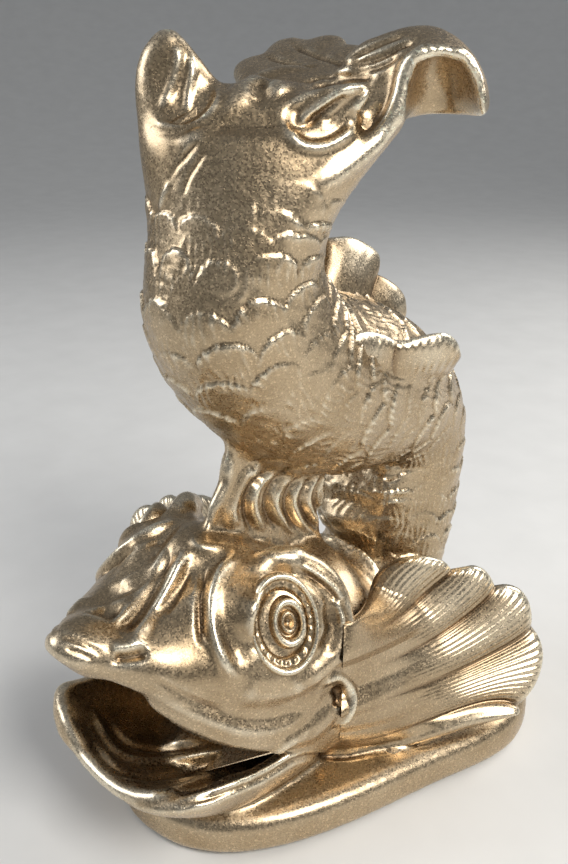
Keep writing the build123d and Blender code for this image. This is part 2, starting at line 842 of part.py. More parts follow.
# The hood's hollow, open to the front and downwards
hood_hollow_shares = (
    (
        1.0,
        ((0.58, -0.3), (0.596, 0.1), (0.61, 0.39), (0.635, 0.585), (0.69, 0.7), (0.76, 0.68))
        + ((0.816, 0.575), (0.857, 0.415), (0.878, 0.24), (0.878, -0.3)),
    ),
    (
        -0.3,
        ((0.62, -0.3), (0.633, 0.1), (0.645, 0.34), (0.67, 0.5), (0.714, 0.595), (0.767, 0.575))
        + ((0.816, 0.49), (0.849, 0.34), (0.865, 0.2), (0.865, -0.3)),
    ),
    (
        -0.66,
        ((0.67, -0.3), (0.694, 0.05), (0.71, 0.22), (0.73, 0.32), (0.755, 0.35), (0.78, 0.33))
        + ((0.802, 0.27), (0.816, 0.2), (0.82, 0.1), (0.822, -0.3)),
    ),
)


def arched_form(arches):
    """A form through arches that stand across the right leaf."""
    with BuildPart() as form:
        for forward, points in arches:
            centre = tail_centre + fan_face * right_lobe_half_depth * forward
            with BuildSketch(Plane(origin=centre, x_dir=fan_across, z_dir=fan_face)):
                with BuildLine():
                    arch = Spline(*[(right_lobe_reach * x, right_lobe_height * y) for x, y in points])
                    Line(arch @ 1, arch @ 0)
                make_face()
        loft()
    return form.part


with BuildPart() as tail_lobe_right:
    add(arched_form(hood_shares))
    add(arched_form(hood_hollow_shares), mode=Mode.SUBTRACT)
    split(bisect_by=tail_base_plane, keep=Keep.TOP)
    add(tail_crown.part, mode=Mode.SUBTRACT)

back_lobe_ray_shares = (
    (22.0, 0.8, 0.9),
    (9.0, 0.98, 1.0),
    (-5.0, 0.98, 1.0),
    (-18.0, 0.87, 0.95),
    (-31.0, 0.75, 0.9),
)
back_lobe_plane = Plane(
    origin=tail_centre - fan_across * stem_top_half_width * 0.1,
    x_dir=(-0.36, 0.78, 0.38),
    z_dir=(0.12, -0.38, 0.92),
)
with BuildPart() as tail_lobe_back:
    add(fluted_fan(back_lobe_plane, back_lobe_ray_shares, back_lobe_length, back_lobe_ray_width, back_lobe_ray_depth))
    split(bisect_by=tail_base_plane, keep=Keep.TOP)
    add(tail_crown.part, mode=Mode.SUBTRACT)
    add(tail_lobe_right.part, mode=Mode.SUBTRACT)
    add(tail_lobe_left.part, mode=Mode.SUBTRACT)

pieces = {
    "felt_pad": felt_pad,
    "base_plinth": base_plinth,
    "lower_jaw": lower_jaw,
    "tongue": tongue,
    "head": head,
    "eye_left": eye_left,
    "eye_right": eye_right,
    "mouth_curl_left": mouth_curl_left,
    "mouth_curl_right": mouth_curl_right,
    "crest": crest,
    "pectoral_fin_left": pectoral_fin_left,
    "pectoral_fin_right": pectoral_fin_right,
    "body_column": body_column,
    "body_loop": body_loop,
    "tail_stem": tail_stem,
    "column_dowel": column_dowel,
    "loop_dowel": loop_dowel,
    "stem_dowel": stem_dowel,
    "pelvic_fin_left": pelvic_fin_left,
    "pelvic_fin_right": pelvic_fin_right,
    "tail_crown": tail_crown,
    "tail_lobe_left": tail_lobe_left,
    "tail_lobe_right": tail_lobe_right,
    "tail_lobe_back": tail_lobe_back,
}

os.makedirs("parts", exist_ok=True)
for name, piece in pieces.items():
    piece.part.label = name
    export_step(piece.part, f"parts/{name}.step")
    size = piece.part.bounding_box().size
    print(name, [round(body.volume) for body in piece.part.solids()], [round(s, 1) for s in size])
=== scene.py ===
from math import cos, pi, radians, sin

import bmesh
import bpy
import numpy as np
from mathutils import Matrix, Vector
from mathutils.bvhtree import BVHTree


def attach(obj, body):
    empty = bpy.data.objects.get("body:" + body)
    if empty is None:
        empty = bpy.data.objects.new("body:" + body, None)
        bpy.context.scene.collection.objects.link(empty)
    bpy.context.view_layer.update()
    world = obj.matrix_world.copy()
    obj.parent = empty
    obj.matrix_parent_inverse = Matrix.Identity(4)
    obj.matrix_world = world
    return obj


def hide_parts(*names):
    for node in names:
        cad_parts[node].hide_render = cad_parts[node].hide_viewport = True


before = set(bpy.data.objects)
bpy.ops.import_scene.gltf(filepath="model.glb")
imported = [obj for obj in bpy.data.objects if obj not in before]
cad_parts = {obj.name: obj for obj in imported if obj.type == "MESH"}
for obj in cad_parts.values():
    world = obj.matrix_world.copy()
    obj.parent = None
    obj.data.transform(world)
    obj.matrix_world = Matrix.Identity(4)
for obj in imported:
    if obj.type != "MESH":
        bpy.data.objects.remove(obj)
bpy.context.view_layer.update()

# A gold-painted fish ornament. The whole figure is shaped as one block of clay laid over the frame's
# nodes, carved, and then parted again into one closed piece per node. The fins' fine sheets and the
# eyes are pieces of their own. Lengths in the tables are in millimetres, and places are pixels of
# the photograph.

MM = 0.001
tiny = 1e-12
scene = bpy.context.scene
scene.view_settings.view_transform = "Standard"


def mesh_from(name, bm):
    """A mesh made of a bmesh, which is used up."""
    mesh = bpy.data.meshes.new(name)
    bm.to_mesh(mesh)
    bm.free()
    return mesh


def placed(name, data):
    """A new object in the scene."""
    thing = bpy.data.objects.new(name, data)
    scene.collection.objects.link(thing)
    return thing


def aimed(thing, place, ahead):
    """Stands a camera or a lamp at its place, looking ahead."""
    thing.location = place
    thing.rotation_mode = "QUATERNION"
    thing.rotation_quaternion = ahead.to_track_quat("-Z", "Y")


# The photograph's frame and where its camera stood
photo_width = 568
photo_height = 864
photo_focal = 868.0
film_size = 36.0
camera_place = Vector((148.75, -156.94, 193.0)) * MM
camera_turn = radians(45.0)
camera_dip = radians(23.6)
camera_ahead = Vector(
    (-sin(camera_turn) * cos(camera_dip), cos(camera_turn) * cos(camera_dip), -sin(camera_dip))
)
camera_right = Vector((cos(camera_turn), sin(camera_turn), 0.0))
camera_up = camera_right.cross(camera_ahead)

camera_data = bpy.data.cameras.new("camera")
camera_data.sensor_width = film_size
camera_data.lens = film_size * photo_focal / photo_height
camera_data.clip_start = 0.01
scene.camera = placed("camera", camera_data)
aimed(scene.camera, camera_place, camera_ahead)
camera_start = np.array(camera_place) / MM


def pixel_ray(across, down):
    """The direction from the camera through a pixel of the photograph."""
    right = (across - photo_width / 2) / photo_focal
    fall = (down - photo_height / 2) / photo_focal
    return (camera_ahead + camera_right * right - camera_up * fall).normalized()


def ease(value):
    """A smooth step from 0 to 1."""
    value = np.clip(value, 0.0, 1.0)
    return value * value * (3.0 - 2.0 * value)


def rise(value, start, span):
    """A smooth step from 0 to 1 that begins at the start. Where the span is negative, it runs downwards."""
    return ease((value - start) / span)


# Clay tools
node_weld = 0.001


def node_copy(bm, nodes):
    """Adds copies of the named nodes to a bmesh."""
    for name in nodes:
        bm.from_mesh(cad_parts[name].data)
    bmesh.ops.remove_doubles(bm, verts=bm.verts[:], dist=node_weld * MM)


def evened(bm, voxel):
    """The bmesh joined into one skin of even faces."""
    mesh = mesh_from("clay", bm)
    block = placed("clay", mesh)
    remesh = block.modifiers.new("clay", "REMESH")
    remesh.mode = "VOXEL"
    remesh.voxel_size = voxel * MM
    skin = bpy.data.meshes.new_from_object(block.evaluated_get(bpy.context.evaluated_depsgraph_get()))
    bpy.data.objects.remove(block)
    bpy.data.meshes.remove(mesh)
    return skin


class Clay:
    """A skin of points and faces that strokes press into."""

    def __init__(self, skin):
        self.count = len(skin.vertices)
        self.points = np.zeros(self.count * 3)
        skin.vertices.foreach_get("co", self.points)
        self.points = self.points.reshape(-1, 3) / MM
        edges = np.zeros(len(skin.edges) * 2, dtype=np.int64)
        skin.edges.foreach_get("vertices", edges)
        self.edges = edges.reshape(-1, 2)
        self.faces = [tuple(face.vertices) for face in skin.polygons]
        self.quads = np.array([f if len(f) == 4 else (*f, f[-1]) for f in self.faces])
        self.degree = np.bincount(self.edges.ravel(), minlength=self.count).astype(float)
        self.degree[self.degree == 0] = 1.0
        bpy.data.meshes.remove(skin)

    def mean(self, values):
        """The mean of each point's neighbours."""
        total = np.zeros_like(values)
        a, b = self.edges[:, 0], self.edges[:, 1]
        for k in range(values.shape[1]):
            total[:, k] = np.bincount(a, weights=values[b, k], minlength=self.count)
            total[:, k] += np.bincount(b, weights=values[a, k], minlength=self.count)
        return total / self.degree[:, None]

    def relaxed(self, rounds):
        """The points, drawn halfway to their neighbours' mean a number of times."""
        points = self.points.copy()
        for _ in range(rounds):
            points += 0.5 * (self.mean(points) - points)
        return points

    def normals(self):
        """The outward direction at each point."""
        p = self.points[self.quads]
        face = np.cross(p[:, 2] - p[:, 0], p[:, 3] - p[:, 1])
        out = np.zeros_like(self.points)
        for corner in range(4):
            for k in range(3):
                out[:, k] += np.bincount(self.quads[:, corner], weights=face[:, k], minlength=self.count)
        return out / (np.linalg.norm(out, axis=1)[:, None] + tiny)

    def tree(self):
        """The skin for casting rays at."""
        return BVHTree.FromPolygons((self.points * MM).tolist(), self.faces)


def curve_through(points, gap):
    """Close samples of a smooth curve through the points."""
    points = np.array(points, float)
    padded = np.vstack([2 * points[0] - points[1], points, 2 * points[-1] - points[-2]])
    run = []
    for i in range(len(points) - 1):
        p0, p1, p2, p3 = padded[i : i + 4]
        steps = max(2, int(np.linalg.norm(p2 - p1) / gap))
        slope, bend, twist = p2 - p0, 2 * p0 - 5 * p1 + 4 * p2 - p3, 3 * p1 - p0 - 3 * p2 + p3
        for t in np.arange(steps) / steps:
            run.append(0.5 * (2 * p1 + slope * t + bend * t * t + twist * t**3))
    run.append(points[-1])
    return np.array(run)


# Strokes: pixels between the samples of a line, how far past its width a stroke looks for points,
# the share of its length over which each end fades in, what is left of it at the very end, and how
# fast it dies away where the skin turns from the line's own side
trace_step = 2.5
stroke_margin = 1.05
stroke_fade = 0.22
stroke_tip = 0.05
turn_gain = 2.0
turn_limit = 0.1


def traced(tree, pixels):
    """The line that a row of pixels draws on the skin, and the skin's direction along it."""
    line, facing = [], []
    for across, down in curve_through(pixels, trace_step):
        place, normal, _, _ = tree.ray_cast(camera_place, pixel_ray(across, down))
        if place is None:
            continue
        line.append(np.array(place) / MM)
        facing.append(np.array(normal))
    return np.array(line), np.array(facing)


def both_sides(mirrored):
    """The near side in full, and the far side with its share where it has one."""
    sides = [(np.ones(3), 1.0)]
    if mirrored:
        sides.append((np.array([-1.0, 1.0, 1.0]), mirrored))
    return sides


def near_line(points, line, reach):
    """The points in the box around a line."""
    low, high = line.min(0) - reach, line.max(0) + reach
    return np.where(((points > low) & (points < high)).all(1))[0]


def stroke_shares(points, normals, line, facing, width):
    """The points near the line, and how strongly a stroke along it acts on each."""
    near = near_line(points, line, width * stroke_margin)
    along = np.gradient(line, axis=0)
    along /= np.linalg.norm(along, axis=1)[:, None] + tiny
    gaps = points[near][:, None, :] - line[None, :, :]
    nearest = (gaps**2).sum(2).argmin(1)
    gap = gaps[np.arange(len(near)), nearest]
    ahead = (gap * along[nearest]).sum(1)
    inner = (nearest > 0) & (nearest < len(line) - 1)
    away = np.sqrt(np.maximum((gap**2).sum(1) - np.where(inner, ahead**2, 0.0), 0.0))
    turn = np.clip((normals[near] * facing[nearest]).sum(1) * turn_gain - turn_limit, 0.0, 1.0)
    share = np.clip(1.0 - (away / width) ** 2, 0.0, 1.0) ** 2
    ends = np.minimum(nearest, len(line) - 1 - nearest) / (len(line) - 1)
    share *= ease(ends / stroke_fade + stroke_tip)
    return near, share * turn


def carve(clay, strokes):
    """Presses a table of strokes into the clay."""
    tree = clay.tree()
    normals = clay.normals()
    move = np.zeros(clay.count)
    for height, width, mirrored, pixels in strokes.values():
        line, facing = traced(tree, pixels)
        for side, share_of in both_sides(mirrored):
            near, share = stroke_shares(clay.points, normals, line * side, facing * side, width)
            move[near] += height * share_of * share
    clay.points += normals * move[:, None]


def pull(clay, pulls):
    """Draws parts of the clay along a direction."""
    tree = clay.tree()
    move = np.zeros_like(clay.points)
    for shift, width, mirrored, pixels in pulls.values():
        line, _ = traced(tree, pixels)
        for side, share_of in both_sides(mirrored):
            near = near_line(clay.points, line * side, width)
            away = np.sqrt(((clay.points[near][:, None, :] - (line * side)[None]) ** 2).sum(2).min(1))
            share = share_of * np.clip(1.0 - (away / width) ** 2, 0.0, 1.0) ** 2
            move[near] += share[:, None] * np.array(shift) * side
    clay.points += move


# Named pulls: shift, width, share on the far side, and pixels
clay_pulls = {
    "nose": ((0.0, -2.9, 0.9), 10.5, 1, ((74, 634), (76, 646), (80, 658))),
    "under the nose": ((0.0, 0.0, 1.6), 7.5, 1, ((76, 672), (90, 681), (108, 686))),
    "far lip": ((-2.6, -2.6, 5.0), 10.0, 0.3, ((78, 702), (78, 712), (84, 726))),
    "crest back": ((0.0, 6.4, 0.0), 6.5, 0, ((311, 478), (308, 492), (309, 506))),
    "crest foot": ((0.0, -4.2, 0.0), 7.5, 0, ((229, 506), (223, 520), (213, 534))),
    "column front": ((-3.9, -9.6, 0.0), 13.0, 0.6, ((352, 478), (351, 490), (350, 504))),
}

# Named strokes: height, width, share on the far side, and pixels
head_forms = {
    "socket hollow": (-1.6, 5.5, 1, (
        (262, 574), (248, 584), (238, 598), (235, 616), (236, 634), (242, 650), (254, 665),
    )),
    "socket fold": (1.7, 2.6, 1, (
        (240, 549), (229, 561), (220, 576), (214, 594), (213, 612), (215, 632), (220, 650), (229, 668),
        (240, 684),
    )),
    "lid": (0.9, 5.5, 1, ((254, 556), (272, 549), (290, 552), (306, 562))),
    "behind the eye": (-0.8, 3.4, 1, ((322, 604), (330, 620), (330, 638), (322, 654))),
    "cheek": (1.0, 6.5, 1, ((238, 690), (262, 692), (288, 688), (306, 676))),
    "bridge": (1.3, 2.4, 0, ((188, 541), (180, 562), (170, 584), (158, 605), (143, 628), (126, 646))),
    "valley": (-1.5, 2.6, 0.4, ((173, 538), (165, 560), (155, 582), (144, 602), (131, 620), (116, 634))),
    "far brow": (1.4, 6.0, 0, ((146, 535), (141, 555), (131, 577), (118, 594))),
    "under the far brow": (-2.0, 4.5, 0, ((94, 608), (106, 609), (120, 613))),
    "upper lip crest": (1.0, 3.0, 1, (
        (146, 684), (165, 698), (190, 711), (215, 721), (243, 730), (272, 729), (296, 719), (313, 705),
        (320, 690),
    )),
    "hollow above the lip": (-0.6, 5.0, 1, ((184, 692), (212, 704), (245, 710), (280, 707), (304, 696))),
    "nostril": (-1.6, 2.0, 1, ((110, 658), (122, 657), (136, 655), (148, 651))),
    "above the nostril": (0.9, 2.8, 1, ((110, 649), (128, 648), (148, 641))),
}
head_lines = {
    "groove beside the socket": (-1.3, 1.4, 1, (
        (207, 566), (202, 580), (199, 596), (199, 612), (200, 630), (203, 648),
    )),
    "lid line one": (-0.8, 1.2, 1, ((300, 569), (316, 579), (331, 591), (341, 606))),
    "lid line two": (0.8, 1.3, 1, ((297, 563), (314, 573), (330, 585), (344, 601))),
    "forehead line": (0.5, 1.4, 0.6, ((182, 556), (174, 574), (165, 592), (154, 611))),
    "forehead groove": (-0.5, 1.2, 0.6, ((192, 566), (184, 584), (174, 602), (163, 618))),
    "nose wrinkle one": (-0.35, 1.1, 1, ((60, 636), (74, 640), (90, 648), (104, 656))),
    "nose wrinkle two": (-0.35, 1.1, 1, ((64, 648), (80, 653), (96, 660))),
    "lip line": (-0.4, 1.2, 1, ((150, 676), (175, 690), (200, 702), (228, 711))),
    "gill line one": (-0.8, 1.4, 1, ((340, 600), (347, 615), (349, 630))),
    "gill line two": (0.6, 1.4, 1, ((335, 596), (342, 612), (344, 628))),
}
mouth_lines = {
    "curl": (1.6, 2.4, 1, (
        (320, 688), (326, 680), (337, 676), (347, 684), (352, 697), (350, 710), (343, 720), (331, 727),
    )),
    "curl hollow": (-1.6, 2.2, 1, ((334, 686), (339, 697), (337, 708))),
    "lip roll": (0.9, 2.8, 0, (
        (62, 700), (74, 738), (92, 768), (116, 788), (150, 795), (185, 787), (215, 776), (250, 764),
        (290, 744), (322, 718),
    )),
    "lip inner line": (-0.8, 2.0, 0, (
        (82, 715), (95, 745), (115, 768), (145, 778), (180, 774), (210, 765), (240, 755),
    )),
    "gum": (1.2, 2.2, 0, (
        (92, 704), (98, 722), (107, 742), (125, 758), (155, 762), (185, 757), (215, 751), (240, 748),
    )),
    "gum groove": (-1.2, 2.2, 0, (
        (106, 714), (115, 731), (130, 744), (152, 749), (180, 747), (205, 745),
    )),
    "bead under the lip": (-0.9, 1.6, 0, (
        (170, 806), (192, 801), (215, 795), (240, 787), (266, 775), (290, 762), (315, 756), (345, 757),
        (390, 750),
    )),
    "bead": (0.6, 1.4, 0, (
        (175, 801), (196, 796), (217, 790), (241, 782), (266, 770), (288, 758), (306, 752),
    )),
}
crest_lines = {
    "first flute": (1.1, 3.0, 1, ((262, 462), (246, 475), (236, 495), (232, 515), (240, 532))),
    "groove one": (-1.2, 1.9, 1, ((268, 469), (253, 484), (246, 503), (248, 519), (256, 532))),
    "second flute": (0.8, 2.0, 1, ((280, 467), (262, 482), (254, 500), (257, 518), (266, 532))),
    "groove two": (-1.2, 1.8, 1, ((287, 469), (273, 484), (266, 502), (270, 518), (282, 532))),
    "third flute": (0.7, 1.8, 1, ((293, 473), (281, 487), (276, 503), (281, 518), (294, 533))),
    "groove three": (-1.1, 1.8, 1, ((301, 474), (290, 488), (286, 504), (291, 520), (302, 534))),
    "fourth flute": (0.7, 1.7, 1, ((307, 475), (297, 490), (294, 505), (301, 521), (314, 534))),
    "groove four": (-1.1, 1.7, 1, ((314, 474), (304, 489), (302, 504), (309, 520), (322, 534))),
    "fifth flute": (0.7, 1.6, 1, ((320, 474), (311, 488), (309, 503), (316, 519), (328, 532))),
    "groove five": (-1.0, 1.6, 1, ((326, 471), (317, 486), (315, 501), (322, 517), (334, 531))),
}
tail_forms = {
    "saddle band": (1.0, 4.0, 0, (
        (172, 141), (198, 132), (222, 112), (240, 92), (258, 78), (285, 70), (320, 68),
    )),
    "pod rim": (0.9, 1.8, 0, (
        (206, 58), (214, 72), (218, 92), (214, 110), (202, 122), (184, 128), (163, 125), (147, 114),
    )),
    "pod rib one": (0.7, 1.6, 0, ((176, 42), (178, 58), (174, 78), (166, 98), (160, 114))),
    "pod rib two": (0.7, 1.4, 0, ((190, 50), (192, 70), (188, 95), (186, 118))),
    "knob": (1.0, 4.0, 0, ((264, 86), (276, 86), (286, 94))),
    "beside the knob": (-0.9, 2.6, 0, ((250, 104), (262, 96), (258, 88), (270, 80))),
    "ear rim": (1.0, 2.4, 0, (
        (284, 96), (279, 112), (285, 130), (300, 141), (322, 144), (344, 135), (362, 117), (378, 98),
        (388, 80),
    )),
    "ear hollow": (-1.3, 2.8, 0, ((295, 133), (310, 137), (328, 134), (344, 123), (358, 107))),
    "ear upper hollow": (-1.0, 2.2, 0, ((291, 118), (300, 106), (316, 95), (334, 87))),
    "band inside the hood": (-0.8, 4.0, 0, ((394, 62), (386, 88), (372, 116), (346, 142), (318, 156))),
    "flare edge": (1.1, 3.2, 0, (
        (297, 203), (320, 187), (348, 168), (373, 148), (390, 122), (398, 96), (402, 74), (412, 58),
        (430, 51), (450, 51), (466, 58), (478, 74), (485, 94),
    )),
}
tail_lines = {
    "ear rib": (0.8, 1.4, 0, ((293, 128), (308, 115), (325, 103), (342, 92), (360, 83))),
    "under the ear rib": (-0.8, 1.3, 0, ((303, 127), (318, 114), (334, 103), (350, 94))),
    "ear line one": (-0.7, 1.2, 0, ((298, 84), (320, 78), (345, 75), (376, 76))),
    "ear line two": (-0.7, 1.2, 0, ((305, 92), (325, 84), (348, 79), (376, 78))),
    "ear line three": (-0.7, 1.2, 0, ((322, 126), (338, 112), (354, 98), (372, 84))),
    "leaf line one": (-0.8, 1.3, 0, ((350, 58), (368, 49), (386, 41), (405, 35))),
    "leaf line two": (-0.9, 1.4, 0, ((346, 64), (366, 61), (384, 55), (400, 46), (420, 40))),
    "leaf line three": (-0.8, 1.3, 0, ((346, 70), (368, 69), (386, 63), (400, 52))),
    "back line one": (-0.8, 1.4, 0, ((289, 36), (296, 46), (310, 53), (330, 60), (350, 66))),
    "back line two": (-0.8, 1.4, 0, ((262, 52), (275, 59), (295, 64), (320, 67))),
    "scratch one": (-0.6, 1.1, 0, ((200, 140), (188, 152), (176, 170), (166, 190))),
    "scratch two": (-0.5, 1.0, 0, ((206, 150), (196, 164), (187, 180), (182, 198))),
    "scratch three": (0.5, 1.0, 0, ((186, 158), (174, 175), (164, 196), (160, 214))),
}

# Fins. The rows hold pixels from the root outwards, one per knot around the fin, and the edge has one
# lobe between each two knots. The camera's rays carry the pixels to a plane through the place, or to
# the given depths around the fin. Where a fin is laid back, its root follows the figure's skin: over
# what share of the fin, and how far inside the skin. The core is the share of it that goes into the
# clay, front is how far the fin stands before its plane, and the border's plumpness squares it off.
fan_shape = {
    "knots": (0.0, 0.22, 0.45, 0.68, 0.95, 1.0),
    "rows": (
        ((342, 622), (341, 645), (340, 680), (339, 712), (337, 740), (333, 759)),
        ((366, 605), (384, 625), (398, 655), (404, 690), (400, 728), (395, 750)),
        ((375, 578), (420, 595), (450, 625), (475, 660), (468, 703), (455, 732)),
    ),
    "edge": (
        ((400, 556), (415, 553), (430, 556), (440, 561), (447, 568)),
        ((447, 568), (456, 565), (466, 563), (476, 567), (484, 575), (490, 584)),
        ((490, 584), (500, 582), (511, 586), (519, 596), (523, 608), (526, 623)),
        ((526, 623), (532, 634), (534, 648), (532, 662), (527, 678), (520, 692), (512, 703)),
        ((512, 703), (510, 708), (507, 712)),
    ),
    "place": (24.0, 2.0, 50.0),
    "face": (0.841, -0.394, 0.370),
    "laid_back": (0.62, 1.0),
    "thickness": 4.2,
    "front": 1.6,
    "flute": 2.5,
    "rib": 0.13,
    "ribs": 40,
    "core": 0.4,
    "plump": 26,
    "curl": 2.4,
    "across": 400,
    "along": 110,
}
far_fan_shape = {**fan_shape, "laid_back": None}
ledge_shape = {
    "knots": (0.0, 0.42, 1.0),
    "rows": (
        ((356, 350), (392, 392), (446, 380)),
        ((354, 347), (392, 374), (452, 372)),
        ((352, 344), (393, 356), (458, 364)),
    ),
    "edge": (
        ((351, 341), (356, 333), (368, 329), (384, 333), (396, 341)),
        ((396, 341), (406, 340), (418, 335), (432, 331), (445, 331), (456, 340), (461, 354)),
    ),
    "depths": ((0.0, 209.0), (0.2, 216.5), (0.42, 221.0), (0.75, 227.5), (1.0, 236.0)),
    "face": (0.765, -0.424, -0.484),
    "laid_back": (0.95, 2.0),
    "thickness": 3.4,
    "front": 0.9,
    "flute": 1.0,
    "rib": 0.14,
    "ribs": 16,
    "core": 0.7,
    "plump": 10,
    "curl": 0.8,
    "across": 180,
    "along": 90,
}
flap_shape = {
    "knots": (0.0, 0.55, 1.0),
    "rows": (
        ((322, 300), (362, 320), (402, 336)),
        ((322, 282), (364, 302), (402, 332)),
        ((324, 258), (370, 285), (402, 328)),
    ),
    "edge": (
        ((326, 238), (345, 238), (362, 246), (374, 256), (376, 268), (374, 274)),
        ((374, 274), (386, 283), (396, 294), (401, 308), (402, 325)),
    ),
    "place": (-3.0, 24.0, 118.0),
    "face": (0.93, 0.05, 0.35),
    "laid_back": None,
    "thickness": 6.4,
    "front": 2.2,
    "flute": 2.2,
    "rib": 0.05,
    "ribs": 9,
    "core": 0.6,
    "plump": 4,
    "curl": 0.8,
    "across": 160,
    "along": 100,
}
fins = (
    ("pectoral_fin_left", "fan", fan_shape, False),
    ("pectoral_fin_right", "far_fan", far_fan_shape, True),
    ("pelvic_fin_left", "ledge", ledge_shape, False),
    ("pelvic_fin_right", "flap", flap_shape, False),
)

# The far fan is the near one mirrored, turned about the swing place and shifted
swing_place = np.array([-24.0, 2.0, 0.0])
swing_shift = np.array([0.0, -9.0, 1.0])
swing_turn = radians(60.0)

# Pixels between the samples of a fin's rows and edge, and how many roots are evened with each other
row_step = 3.0
edge_step = 1.5
root_evening = 15

# Where along a fin its parts, its painted shade and its painted highlights come in, each as a start and a
# span
flute_rise = (0.05, 0.9)
rib_rise = (0.3, 0.5)
rib_end = (0.95, 0.05)
curl_rise = (0.55, 0.45)
valley_shade_rise = (0.15, 0.3)
edge_highlight_rise = (0.9, 0.1)
ridge_highlight_rise = (0.4, 0.4)

# How full the flutes are, below what fullness they count as valleys, how much painted shade the valleys get
# and how strong the painted highlight on the ridges is, how much thinner the core is on each face, and its
# coarser steps
flute_fullness = 0.75
valley_limit = 0.55
valley_painted_shade = 0.6
ridge_painted_highlight = 0.5
core_inset = 0.6
core_thinning = (4, 2)
fin_weld = 0.004


def lengths(line):
    """The length of a line up to each of its places."""
    return np.concatenate([[0.0], np.cumsum(np.linalg.norm(np.diff(line, axis=0), axis=1))])


def pixels_along(line, length, reach):
    """The pixels of a line at the given lengths."""
    return np.stack([np.interp(reach, length, line[:, k]) for k in range(2)], axis=1)


def row_places(shape, row, around):
    """Pixels along one row of a fin."""
    line = curve_through(row, row_step)
    length = lengths(line)
    at_knots = [length[np.linalg.norm(line - np.array(pixel, float), axis=1).argmin()] for pixel in row]
    return pixels_along(line, length, np.interp(around, shape["knots"], at_knots))


def edge_places(shape, around):
    """Pixels along the scalloped edge of a fin, at even shares of each lobe."""
    out = np.zeros((len(around), 2))
    for lobe, low, high in zip(shape["edge"], shape["knots"][:-1], shape["knots"][1:]):
        mine = (around >= low) & (around <= high)
        line = curve_through(lobe, edge_step)
        length = lengths(line)
        out[mine] = pixels_along(line, length, (around[mine] - low) / (high - low) * length[-1])
    return out


def fin_grid(shape, tree):
    """The middle sheet of a fin as a grid of places, its root laid back to what the tree shows."""
    around = np.linspace(0.0, 1.0, shape["across"] + 1)
    outward = np.linspace(0.0, 1.0, shape["along"] + 1)
    rows = [row_places(shape, row, around) for row in shape["rows"]] + [edge_places(shape, around)]
    face = np.array(Vector(shape["face"]).normalized())
    rays = np.zeros((len(around), len(outward), 3))
    for j, t in enumerate(outward * 3.0):
        # The cubic through the three rows and the edge
        weights = (
            -(t - 1) * (t - 2) * (t - 3) / 6,
            t * (t - 2) * (t - 3) / 2,
            -t * (t - 1) * (t - 3) / 2,
            t * (t - 1) * (t - 2) / 6,
        )
        for i, (across, down) in enumerate(sum(w * row for w, row in zip(weights, rows))):
            rays[i, j] = pixel_ray(across, down)
    if "depths" in shape:
        knots, values = zip(*shape["depths"])
        depth = np.repeat(np.interp(around, knots, values)[:, None], len(outward), axis=1)
    else:
        depth = (np.array(shape["place"]) - camera_start) @ face / (rays @ face)
    if shape["laid_back"]:
        share, inside = shape["laid_back"]
        back = np.zeros(len(around))
        for i in range(len(around)):
            skin_depth = tree.ray_cast(camera_place, Vector(rays[i, 0]))[3]
            if skin_depth is not None:
                back[i] = skin_depth / MM + inside - depth[i, 0]
        padded = np.pad(back, root_evening // 2, mode="edge")
        back = np.convolve(padded, np.ones(root_evening) / root_evening, mode="valid")
        depth = depth + np.outer(back, 1.0 - ease(outward / share))
    return around, outward, camera_start + rays * depth[..., None]


def swung(skin):
    """The far fan's place for the near fan's skin."""
    gap = skin * np.array([-1.0, 1.0, 1.0]) - swing_place
    turned = gap.copy()
    turned[..., 0] = cos(swing_turn) * gap[..., 0] - sin(swing_turn) * gap[..., 1]
    turned[..., 1] = sin(swing_turn) * gap[..., 0] + cos(swing_turn) * gap[..., 1]
    return turned + (swing_place + swing_shift)


